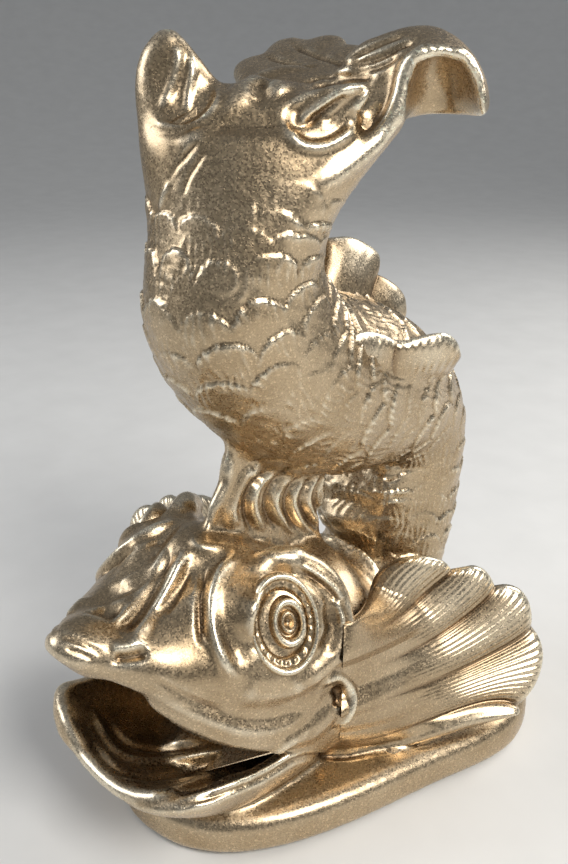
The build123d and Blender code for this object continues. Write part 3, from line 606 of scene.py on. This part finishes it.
def fin_skins(bm, shape, sheet, mirrored, core):
    """Adds a fin to a bmesh as two skins that meet at its sides and its edge. Its root stays open inside
    the figure. The core is its plain part near the root."""
    around, outward, grid = sheet
    inset = 0.0
    if core:
        inset = core_inset
        last = int(shape["along"] * shape["core"]) + 1
        step_around, step_out = core_thinning
        around, outward = around[::step_around], outward[:last:step_out]
        grid = grid[::step_around, :last:step_out]
    lobes = np.zeros(len(around))
    for low, high in zip(shape["knots"][:-1], shape["knots"][1:]):
        mine = (around >= low) & (around <= high)
        lobes[mine] = np.sin(pi * (around[mine] - low) / (high - low)) ** flute_fullness
    flute = shape["flute"] * np.outer(lobes, rise(outward, *flute_rise))
    ribs = np.sin(2 * pi * shape["ribs"] * around)
    fade = rise(outward, *rib_rise) * (1 - rise(outward, *rib_end))
    plump = shape["plump"]
    border = np.outer(
        (1 - np.abs(2 * around - 1) ** plump) ** 0.5, (1 - (outward / outward[-1]) ** plump) ** 0.5
    )
    curl = shape["curl"] * rise(outward, *curl_rise) ** 2
    half = shape["thickness"] / 2
    middle = flute + shape["rib"] * np.outer(ribs, fade) + curl[None, :] + shape["front"] - half
    face = np.array(Vector(shape["face"]).normalized())
    # Painted shade in the valleys between the flutes and a painted highlight at the fin's edge and along the
    # flutes' ridges, kept on each point
    painted_shade_layer = bm.verts.layers.float.new("hollow")
    painted_highlight_layer = bm.verts.layers.float.new("edge")
    painted_shade = valley_painted_shade * np.outer(1 - ease(lobes / valley_limit), rise(outward, *valley_shade_rise))
    painted_highlight = np.outer(np.ones(len(around)), rise(outward, *edge_highlight_rise))
    painted_highlight = np.maximum(painted_highlight, ridge_painted_highlight * np.outer(lobes**3, rise(outward, *ridge_highlight_rise)))
    across, along = len(around) - 1, len(outward) - 1
    for side in (1, -1):
        skin = grid + (middle + side * border * (half - inset))[..., None] * face
        if mirrored:
            skin = swung(skin)
        made = bmesh.ops.create_grid(bm, x_segments=across, y_segments=along, size=0.5)["verts"]
        for vert in made:
            i = int(round((vert.co.x + 0.5) * across))
            j = int(round((vert.co.y + 0.5) * along))
            vert.co = Vector(skin[i, j]) * MM
            vert[painted_shade_layer] = painted_shade[i, j]
            vert[painted_highlight_layer] = painted_highlight[i, j]
    bmesh.ops.remove_doubles(bm, verts=bm.verts[:], dist=fin_weld * MM)
    bmesh.ops.recalc_face_normals(bm, faces=bm.faces[:])


def nodes_tree(names):
    """The named nodes for casting rays at, and whose each of the faces is, as a number."""
    points, faces, owners = [], [], []
    for index, name in enumerate(names):
        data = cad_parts[name].data
        base = len(points)
        points += [v.co.copy() for v in data.vertices]
        faces += [tuple(base + i for i in face.vertices) for face in data.polygons]
        owners += [index] * len(data.polygons)
    return BVHTree.FromPolygons(points, faces), owners


# The clay block
clay_nodes = (
    "base_plinth",
    "lower_jaw",
    "tongue",
    "head",
    "mouth_curl_left",
    "mouth_curl_right",
    "crest",
    "body_column",
    "body_loop",
    "tail_stem",
    "tail_crown",
    "tail_lobe_left",
    "tail_lobe_right",
    "tail_lobe_back",
)
rough_voxel = 1.1
rough_rounds = 9
fine_voxel = 0.62
fine_rounds = 4
carved_rounds = 1

figure_tree, _ = nodes_tree(clay_nodes)
sheets = {kind: fin_grid(shape, figure_tree) for _, kind, shape, _ in fins}

bm = bmesh.new()
node_copy(bm, (*clay_nodes, "eye_left", "eye_right"))
for _, kind, shape, mirrored in fins:
    core = bmesh.new()
    fin_skins(core, shape, sheets[kind], mirrored, True)
    core_mesh = mesh_from("core", core)
    bm.from_mesh(core_mesh)
    bpy.data.meshes.remove(core_mesh)
rough = Clay(evened(bm, rough_voxel))
rough.points = rough.relaxed(rough_rounds)
pull(rough, clay_pulls)
rough_mesh = bpy.data.meshes.new("rough")
rough_mesh.from_pydata((rough.points * MM).tolist(), [], rough.faces)
bm = bmesh.new()
bm.from_mesh(rough_mesh)
bpy.data.meshes.remove(rough_mesh)
clay = Clay(evened(bm, fine_voxel))
clay.points = clay.relaxed(fine_rounds)

carve(clay, head_forms)
carve(clay, tail_forms)
clay.points = clay.relaxed(carved_rounds)
carve(clay, {**head_lines, **mouth_lines, **crest_lines, **tail_lines})

# Body scales: the body's middle line, its radius and how many scales go around it. Each scale has a
# radius, a pitch and a height, of which its rim loses a share, and begins a share of its radius before
# its row.
body_step = 1.0
body_line = curve_through(
    (
        (0, 30, 20), (0, 40, 45), (0, 45, 68), (0, 45, 80), (0, 41, 92), (0, 31, 101), (0, 14, 108),
        (0, -4.5, 116), (0, -17, 126.5), (0, -24.4, 146), (0, -24, 160), (2, -21, 170), (4, -17.5, 178),
    ),
    body_step,
)
body_radius = 20.6
scales_around = 11
scale_radius = 7.08
scale_pitch = 6.6
scale_height = 0.9
scale_crown = 0.15
scale_root = 0.2

# Each row is staggered and drifts, and the scales differ in size: shares and the steps of their waves
row_stagger = 0.5
row_drift = 0.13
drift_step = 2.4
size_spread = 0.10
size_steps = (1.7, 2.9)

# Where the scales begin and end, as a start and a span: above the plinth, near the middle line and
# below the tail
scales_low = (44, 10)
scales_out = (30, -4)
scales_high = (172, -14)

# Wear over the scales, hatching between them and a rugged skin: levels, spreads and heights. Waves are
# given by their size and seed, and the rugged ones by their height first.
worn_level = 0.55
worn_waves = (26.0, 3)
worn_least = 0.25
hatch_pitch = 1.9
hatch_height = 0.13
hatch_bend = 2.2
hatch_bend_waves = (7.0, 5)
hatch_level = 0.4
hatch_spread = 0.9
hatch_waves = (9.0, 7)
rugged_least = 0.35
rugged_waves = ((0.05, 4.5, 11), (0.02, 2.0, 13))
noise_waves = 9
wave_spread = (0.6, 1.5)


def body_places(points):
    """How far along the body each point lies, the angle around it and its distance from the middle line."""
    step = np.gradient(body_line, axis=0)
    step /= np.linalg.norm(step, axis=1)[:, None]
    nearest = np.zeros(len(points), dtype=int)
    batch = 20000
    for start in range(0, len(points), batch):
        part = points[start : start + batch]
        nearest[start : start + batch] = ((part[:, None, :] - body_line[None]) ** 2).sum(2).argmin(1)
    gap = points - body_line[nearest]
    ahead = (gap * step[nearest]).sum(1)
    across = np.array([1.0, 0.0, 0.0])
    inward = np.cross(step[nearest], across)
    angle = np.arctan2((gap * inward).sum(1), gap @ across)
    out = np.linalg.norm(gap - step[nearest] * ahead[:, None], axis=1)
    return lengths(body_line)[nearest] + ahead, angle, out


def wave_noise(points, size, seed):
    """Smooth noise from a few crossing waves."""
    rng = np.random.default_rng(seed)
    total = np.zeros(len(points))
    for _ in range(noise_waves):
        direction = rng.normal(size=3)
        direction /= np.linalg.norm(direction)
        waves = points @ direction * (2 * pi / size) * rng.uniform(*wave_spread)
        total += np.sin(waves + rng.uniform(0, 2 * pi))
    return total / noise_waves**0.5


def scale_relief(reach, angle):
    """The height of overlapping scales with their free edges towards the tail."""
    lean = angle / (2 * pi) * scales_around
    row_now = np.floor(reach / scale_pitch).astype(int)
    height = np.zeros(len(reach))
    covered = np.zeros(len(reach), dtype=bool)
    for back in (2, 1, 0, -1):
        row = row_now - back
        shift = (row % 2) * row_stagger + row_drift * np.sin(row * drift_step)
        turn = lean - shift
        side = (turn - np.round(turn)) * (2 * pi * body_radius / scales_around)
        wobble = 1.0 + size_spread * np.sin(row * size_steps[0] + np.round(turn) * size_steps[1])
        ahead = reach - row * scale_pitch
        away = np.sqrt(side**2 + ahead**2) / (scale_radius * wobble)
        inside = (away < 1.0) & ~covered & (ahead > -scale_radius * scale_root)
        crown = 1 - scale_crown * away[inside]
        height[inside] = np.clip(ahead[inside] / scale_radius, 0.0, 1.0) * crown
        covered |= inside
    return height


def body_relief(points):
    """How far the body's scales, hatching and roughness lift each point."""
    reach, angle, out = body_places(points)
    on_body = rise(points[:, 2], *scales_low) * rise(out, *scales_out)
    on_body *= rise(points[:, 2], *scales_high)
    worn = ease(worn_level + worn_level * wave_noise(points, *worn_waves))
    move = on_body * (worn_least + (1 - worn_least) * worn) * scale_height * scale_relief(reach, angle)
    bend = hatch_bend * wave_noise(points, *hatch_bend_waves)
    hatch = np.sin(angle * body_radius * 2 * pi / hatch_pitch + bend)
    hatch *= ease(hatch_level + hatch_spread * wave_noise(points, *hatch_waves))
    move += on_body * hatch_height * hatch
    rugged = rugged_least + (1 - rugged_least) * on_body
    return move + rugged * sum(height * wave_noise(points, size, seed) for height, size, seed in rugged_waves)


clay.points += clay.normals() * body_relief(clay.points)[:, None]

# Painted light for each place: painted shade where it lies hollow and a painted highlight where it stands
# proud of its surroundings, by how far in or out it lies, in millimetres
painted_light_rounds = 14
painted_shade_share = 0.85
painted_shade_rise = (-0.10, -0.45)
painted_highlight_rise = (0.05, 0.35)
skin_normals = clay.normals()
proud = ((clay.points - clay.relaxed(painted_light_rounds)) * skin_normals).sum(1)
painted_light_masks = {"hollow": painted_shade_share * rise(proud, *painted_shade_rise), "edge": rise(proud, *painted_highlight_rise)}

# Parting the clay into one piece per node
parted_nodes = (*clay_nodes, *(name for name, _, _, _ in fins))
own_vote = 1.2
border_rounds = 8


def face_pairs(quads):
    """Pairs of faces that share an edge."""
    ends = np.stack([quads, np.roll(quads, -1, axis=1)], axis=2).reshape(-1, 2)
    face = np.repeat(np.arange(len(quads)), 4)
    real = ends[:, 0] != ends[:, 1]
    ends, face = np.sort(ends[real], axis=1), face[real]
    key = ends[:, 0] * (quads.max() + 1) + ends[:, 1]
    order = np.argsort(key, kind="stable")
    key, face = key[order], face[order]
    twins = np.where(key[1:] == key[:-1])[0]
    return np.stack([face[twins], face[twins + 1]], axis=1)


def nearest_nodes():
    """The node whose surface is nearest to each face of the clay."""
    tree, owners = nodes_tree(parted_nodes)
    centres = clay.points[clay.quads].mean(1)
    return np.array([owners[tree.find_nearest(Vector(c))[2]] for c in centres * MM])


def smooth_labels(labels, pairs):
    """Each face takes the label that most of its neighbours have."""
    count = len(labels)
    for _ in range(border_rounds):
        votes = np.zeros((count, len(parted_nodes)))
        votes[np.arange(count), labels] = own_vote
        for index in range(len(parted_nodes)):
            has = (labels == index).astype(float)
            votes[:, index] += np.bincount(pairs[:, 0], weights=has[pairs[:, 1]], minlength=count)
            votes[:, index] += np.bincount(pairs[:, 1], weights=has[pairs[:, 0]], minlength=count)
        labels = votes.argmax(1)
    return labels


def islands(labels, pairs):
    """A number for each joined patch of equally labelled faces."""
    root = np.arange(len(labels))
    same = pairs[labels[pairs[:, 0]] == labels[pairs[:, 1]]]
    while True:
        a, b = root[same[:, 0]], root[same[:, 1]]
        low = np.minimum(a, b)
        before = root.copy()
        np.minimum.at(root, a, low)
        np.minimum.at(root, b, low)
        root = root[root]
        if (root == before).all():
            return root


def whole_labels(labels, pairs):
    """The labels, with each node's loose patches given to the nodes around them."""
    root = islands(labels, pairs)
    keep = np.zeros(len(root), dtype=bool)
    for index in range(len(parted_nodes)):
        mine = root[labels == index]
        if len(mine):
            keep |= root == np.bincount(mine).argmax()
    labels = np.where(keep, labels, -1)
    a, b = pairs[:, 0], pairs[:, 1]
    while (labels < 0).any():
        take = (labels[a] < 0) & (labels[b] >= 0)
        give = (labels[b] < 0) & (labels[a] >= 0)
        if not take.any() and not give.any():
            break
        labels[a[take]] = labels[b[take]]
        labels[b[give]] = labels[a[give]]
    return labels


def finished(name, bm, node):
    """A new gold piece from a bmesh that stands for its node."""
    mesh = mesh_from(name, bm)
    piece = placed(name, mesh)
    for face in mesh.polygons:
        face.use_smooth = True
    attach(piece, "root")
    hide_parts(node)
    return piece


def parted(index, node):
    """One node's share of the clay, closed where it was joined to the others."""
    mine = np.where(labels == index)[0]
    used = np.unique(clay.quads[mine])
    number = np.full(clay.count, -1)
    number[used] = np.arange(len(used))
    bm = bmesh.new()
    for place in clay.points[used] * MM:
        bm.verts.new(place)
    bm.verts.ensure_lookup_table()
    for face in mine:
        bm.faces.new([bm.verts[number[i]] for i in clay.faces[face]])
    rim = [e for e in bm.edges if len(e.link_faces) == 1]
    caps = bmesh.ops.holes_fill(bm, edges=rim, sides=0)["faces"]
    cap_faces = bmesh.ops.triangulate(bm, faces=caps)["faces"]
    bm.faces.index_update()
    capped = {face.index for face in cap_faces}
    piece = finished(node + "_sculpt", bm, node)
    mesh = piece.data
    corners = np.zeros(len(mesh.loops), dtype=int)
    mesh.loops.foreach_get("vertex_index", corners)
    corner_normals = skin_normals[used][corners]
    for face in mesh.polygons:
        if face.index in capped:
            for k in face.loop_indices:
                corner_normals[k] = face.normal
    mesh.normals_split_custom_set(corner_normals.tolist())
    # Each piece carries the painted shade mask (hollow) and the painted highlight mask (edge) on its points
    for label, values in painted_light_masks.items():
        layer = mesh.attributes.new(label, "FLOAT", "POINT")
        layer.data.foreach_set("value", values[used].astype(np.float32))
    return piece


pairs = face_pairs(clay.quads)
labels = whole_labels(smooth_labels(nearest_nodes(), pairs), pairs)
sculpt = [parted(index, node) for index, node in enumerate(parted_nodes) if (labels == index).any()]
for node, kind, shape, mirrored in fins:
    bm = bmesh.new()
    fin_skins(bm, shape, sheets[kind], mirrored, False)
    sculpt.append(finished(node + "_" + kind, bm, node))

# Eyes: rings turned about the middle, as radius and height
eye_rings = (
    (0.0, -3.0), (9.2, -3.0), (10.2, -0.6), (10.5, 1.2), (10.3, 2.6), (9.7, 3.5), (9.1, 3.2), (8.7, 2.3),
    (8.2, 2.1), (7.6, 2.0), (7.1, 1.5), (6.6, 0.5), (6.0, 0.1), (5.5, 0.7), (5.2, 1.9), (4.7, 3.0),
    (3.9, 3.1), (3.3, 2.3), (3.0, 1.1), (2.7, 1.0), (2.3, 2.0), (1.7, 2.3), (1.1, 1.6), (0.6, 1.0),
    (0.0, 0.8),
)
eye_place = Vector((25.6, -35.3, 67.5))
eye_lift = 1.3
eye_face = Vector((0.8, -0.38, 0.46)).normalized()
eye_wide = 0.84
eye_tall = 1.18
eye_steps = 136
eye_weld = 0.002
ring_step = 0.25

# Beads between two radii above a height, the wavy rim outside a radius, and the pupil's shift inside
# its own reach
eye_beads = 19
bead_band = (6.9, 8.7)
bead_floor = 1.3
bead_height = 0.24
rim_start = 8.6
rim_height = 0.12
pupil_shift = 1.3
pupil_reach = (4.8, 2.4)

# How much painted shade an eye gets in its hollows and inside its rim, and how strong the painted highlight
# on its ridges is
eye_painted_shade = 0.8
eye_shade_end = 9
eye_shade_rise = (1.4, -1.0)
eye_highlight_rise = (2.3, 0.8)


def eye(name, node, side):
    """A ringed eye with a beaded ring, turned to its side and taller than wide."""
    profile = curve_through(eye_rings[1:-1], ring_step)
    profile = np.vstack([[eye_rings[0]], profile, [eye_rings[-1]]])
    bm = bmesh.new()
    verts = [bm.verts.new((r * MM, 0.0, h * MM)) for r, h in profile]
    edges = [bm.edges.new(pair) for pair in zip(verts[:-1], verts[1:])]
    bmesh.ops.spin(
        bm, geom=verts + edges, cent=(0, 0, 0), axis=(0, 0, 1), angle=2 * pi, steps=eye_steps, use_merge=True
    )
    bmesh.ops.remove_doubles(bm, verts=bm.verts[:], dist=eye_weld * MM)
    place = Vector((eye_place.x * side, eye_place.y, eye_place.z))
    face = Vector((eye_face.x * side, eye_face.y, eye_face.z))
    across = Vector((0, 0, 1)).cross(face).normalized()
    upward = face.cross(across)
    painted_shade_layer = bm.verts.layers.float.new("hollow")
    painted_highlight_layer = bm.verts.layers.float.new("edge")
    low, high = bead_band
    for vert in bm.verts:
        x, y, h = vert.co / MM
        r = (x * x + y * y) ** 0.5
        # Painted shade low in the rings and a painted highlight on their tops
        vert[painted_shade_layer] = eye_painted_shade * rise(h, *eye_shade_rise) * (r < eye_shade_end)
        vert[painted_highlight_layer] = rise(h, *eye_highlight_rise)
        turn = np.arctan2(y, x)
        if low < r < high and h > bead_floor:
            bead = cos(eye_beads * turn + sin(3 * turn)) * sin(pi * (r - low) / (high - low))
            h += bead_height * bead
        if r > rim_start and h > 0:
            h += rim_height * sin(turn * 3 + 1.0)
        inner = pupil_shift * (1 - rise(r, *pupil_reach)) * (h > 0)
        flat = across * (x * eye_wide + inner) + upward * (y * eye_tall)
        vert.co = (place + flat + face * (h + eye_lift)) * MM
    bmesh.ops.recalc_face_normals(bm, faces=bm.faces[:])
    return finished(name, bm, node)


sculpt.append(eye("eye_left_rings", "eye_left", 1))
sculpt.append(eye("eye_right_rings", "eye_right", -1))

# Materials


def noise(nodes, links, scale, detail):
    """A noise on Object coordinates. The scale is a number or a socket."""
    where = nodes.new("ShaderNodeTexCoord")
    grain = nodes.new("ShaderNodeTexNoise")
    grain.inputs["Detail"].default_value = detail
    links.new(where.outputs["Object"], grain.inputs["Vector"])
    if isinstance(scale, bpy.types.NodeSocket):
        links.new(scale, grain.inputs["Scale"])
    else:
        grain.inputs["Scale"].default_value = scale
    return grain


def flake_group():
    """Flakes in paint: how bright each flake is, a slow mottle and the height that tilts them."""
    group = bpy.data.node_groups.new("paint flakes", "ShaderNodeTree")
    for label in ("Size", "Tilt"):
        group.interface.new_socket(name=label, in_out="INPUT", socket_type="NodeSocketFloat")
    for label in ("Sparkle", "Mottle", "Height"):
        group.interface.new_socket(name=label, in_out="OUTPUT", socket_type="NodeSocketFloat")
    nodes, links = group.nodes, group.links
    enter, leave = nodes.new("NodeGroupInput"), nodes.new("NodeGroupOutput")
    where = nodes.new("ShaderNodeTexCoord")
    flakes = nodes.new("ShaderNodeTexVoronoi")
    links.new(where.outputs["Object"], flakes.inputs["Vector"])
    links.new(enter.outputs["Size"], flakes.inputs["Scale"])
    split = nodes.new("ShaderNodeSeparateColor")
    links.new(flakes.outputs["Color"], split.inputs["Color"])
    links.new(split.outputs["Red"], leave.inputs["Sparkle"])
    cloud = noise(nodes, links, 60.0, 5.0)
    links.new(cloud.outputs["Fac"], leave.inputs["Mottle"])
    grain_size = nodes.new("ShaderNodeMath")
    grain_size.operation = "MULTIPLY"
    grain_size.inputs[1].default_value = 0.55
    links.new(enter.outputs["Size"], grain_size.inputs[0])
    grain = noise(nodes, links, grain_size.outputs[0], 4.0)
    grain.inputs["Roughness"].default_value = 0.65
    tilt = nodes.new("ShaderNodeMath")
    tilt.operation = "MULTIPLY_ADD"
    links.new(split.outputs["Green"], tilt.inputs[0])
    links.new(enter.outputs["Tilt"], tilt.inputs[1])
    links.new(grain.outputs["Fac"], tilt.inputs[2])
    links.new(tilt.outputs[0], leave.inputs["Height"])
    return group


def ramp(nodes, links, value, stops):
    """The colour that a ramp gives for a socket's value."""
    node = nodes.new("ShaderNodeValToRGB")
    while len(node.color_ramp.elements) < len(stops):
        node.color_ramp.elements.new(0.5)
    for element, (place, color) in zip(node.color_ramp.elements, stops):
        element.position = place
        element.color = (*color, 1.0)
    links.new(value, node.inputs["Fac"])
    return node.outputs["Color"]


def mix(nodes, links, blend, factor, first, second):
    """A colour mix whose factor and colours may be sockets or values."""
    node = nodes.new("ShaderNodeMix")
    node.data_type = "RGBA"
    node.blend_type = blend
    for index, value in ((0, factor), (6, first), (7, second)):
        if isinstance(value, bpy.types.NodeSocket):
            links.new(value, node.inputs[index])
        else:
            node.inputs[index].default_value = value
    return node.outputs[2]


def painted_light_mask(nodes, label):
    """A painted light mask that the piece carries."""
    mask = nodes.new("ShaderNodeAttribute")
    mask.attribute_name = label
    return mask.outputs["Fac"]


# Gold paint: the two tones of its mottle, the painted highlight on what stands proud and the painted shade in
# its hollows, and the flakes' brightness
gold_tones = ((0.3, (0.45, 0.335, 0.205)), (0.7, (0.60, 0.475, 0.32)))
painted_highlight_gold = (0.90, 0.80, 0.62, 1.0)
painted_shade_brown = (0.15, 0.085, 0.04, 1.0)
flake_tones = ((0.0, (0.82, 0.82, 0.82)), (0.85, (1.0, 1.0, 1.0)), (1.0, (1.4, 1.4, 1.4)))
flake_roughness = (0.22, 0.40)


def gold_paint():
    """Gold flake paint, with painted shade in the hollows and a painted highlight on what stands proud."""
    paint = bpy.data.materials.new("gold flake paint")
    paint.use_nodes = True
    nodes, links = paint.node_tree.nodes, paint.node_tree.links
    shader = nodes["Principled BSDF"]
    shader.inputs["Metallic"].default_value = 1.0
    flake = nodes.new("ShaderNodeGroup")
    flake.node_tree = flake_group()
    flake.inputs["Size"].default_value = 2600.0
    flake.inputs["Tilt"].default_value = 0.5
    tone = ramp(nodes, links, flake.outputs["Mottle"], gold_tones)
    speck = ramp(nodes, links, flake.outputs["Sparkle"], flake_tones)
    # Painted highlight laid on the proud places, then painted shade laid in the hollows
    color = mix(nodes, links, "MIX", painted_light_mask(nodes, "edge"), tone, painted_highlight_gold)
    color = mix(nodes, links, "MIX", painted_light_mask(nodes, "hollow"), color, painted_shade_brown)
    color = mix(nodes, links, "MULTIPLY", 1.0, color, speck)
    links.new(color, shader.inputs["Base Color"])
    rough = nodes.new("ShaderNodeMapRange")
    rough.inputs["To Min"].default_value, rough.inputs["To Max"].default_value = flake_roughness
    links.new(flake.outputs["Sparkle"], rough.inputs["Value"])
    links.new(rough.outputs["Result"], shader.inputs["Roughness"])
    bump = nodes.new("ShaderNodeBump")
    bump.inputs["Strength"].default_value = 0.5
    bump.inputs["Distance"].default_value = 0.05 * MM
    links.new(flake.outputs["Height"], bump.inputs["Height"])
    links.new(bump.outputs["Normal"], shader.inputs["Normal"])
    return paint


def grained(name, low, high, scale, roughness, metallic, grain_height):
    """A grained material between two colours."""
    stuff = bpy.data.materials.new(name)
    stuff.use_nodes = True
    nodes, links = stuff.node_tree.nodes, stuff.node_tree.links
    shader = nodes["Principled BSDF"]
    shader.inputs["Metallic"].default_value = metallic
    shader.inputs["Roughness"].default_value = roughness
    grain = noise(nodes, links, scale, 6.0)
    tone = ramp(nodes, links, grain.outputs["Fac"], ((0.3, low), (0.7, high)))
    links.new(tone, shader.inputs["Base Color"])
    bump = nodes.new("ShaderNodeBump")
    bump.inputs["Distance"].default_value = grain_height * MM
    links.new(grain.outputs["Fac"], bump.inputs["Height"])
    links.new(bump.outputs["Normal"], shader.inputs["Normal"])
    return stuff


gold = gold_paint()
for piece in sculpt:
    piece.data.materials.append(gold)

felt = grained(
    "pressed felt",
    low=(0.018, 0.032, 0.024),
    high=(0.05, 0.075, 0.058),
    scale=2600.0,
    roughness=0.95,
    metallic=0.0,
    grain_height=0.3,
)
brass = grained(
    "drawn brass",
    low=(0.48, 0.34, 0.15),
    high=(0.62, 0.46, 0.22),
    scale=700.0,
    roughness=0.34,
    metallic=1.0,
    grain_height=0.03,
)
for name, stuff in (
    ("felt_pad", felt),
    ("column_dowel", brass),
    ("loop_dowel", brass),
    ("stem_dowel", brass),
):
    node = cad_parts[name]
    node.data.materials.clear()
    node.data.materials.append(stuff)

# Floor that sweeps up all around, far from the figure
floor_size = 3.0
floor_parts = 120
sweep_start = 1.0
sweep_radius = 1.6
bm = bmesh.new()
bmesh.ops.create_grid(bm, x_segments=floor_parts, y_segments=floor_parts, size=floor_size)
for vert in bm.verts:
    away = (vert.co.x**2 + vert.co.y**2) ** 0.5
    if away > sweep_start:
        turn = min((away - sweep_start) / sweep_radius, pi / 2)
        vert.co *= (sweep_start + sweep_radius * sin(turn)) / away
        vert.co.z = sweep_radius * (1 - cos(turn)) + max(away - sweep_start - sweep_radius * pi / 2, 0.0)
bmesh.ops.recalc_face_normals(bm, faces=bm.faces[:])
for face in bm.faces:
    face.smooth = True
floor = placed("floor", mesh_from("floor", bm))
floor.data.materials.append(
    grained(
        "pale floor",
        low=(0.76, 0.76, 0.75),
        high=(0.80, 0.80, 0.79),
        scale=40.0,
        roughness=0.85,
        metallic=0.0,
        grain_height=0.05,
    )
)

# Studio light
world = bpy.data.worlds.new("studio")
scene.world = world
world.use_nodes = True
studio = world.node_tree.nodes["Background"]
studio.inputs["Color"].default_value = (0.6, 0.62, 0.65, 1.0)
studio.inputs["Strength"].default_value = 0.36
figure_middle = Vector((0, 0, 0.1))


def softbox(name, place, size, power, color):
    """A square lamp that looks at the figure."""
    lamp = bpy.data.lights.new(name, "AREA")
    lamp.size = size
    lamp.energy = power
    lamp.color = color
    aimed(placed(name, lamp), place, figure_middle - Vector(place))


softbox("key", place=(0.55, -0.05, 0.6), size=0.35, power=4.5, color=(1.0, 0.97, 0.92))
softbox("fill", place=(-0.5, -0.5, 0.45), size=0.4, power=2.0, color=(0.95, 0.97, 1.0))
softbox("rim", place=(0.2, 0.6, 0.5), size=0.4, power=2.5, color=(1.0, 0.98, 0.95))
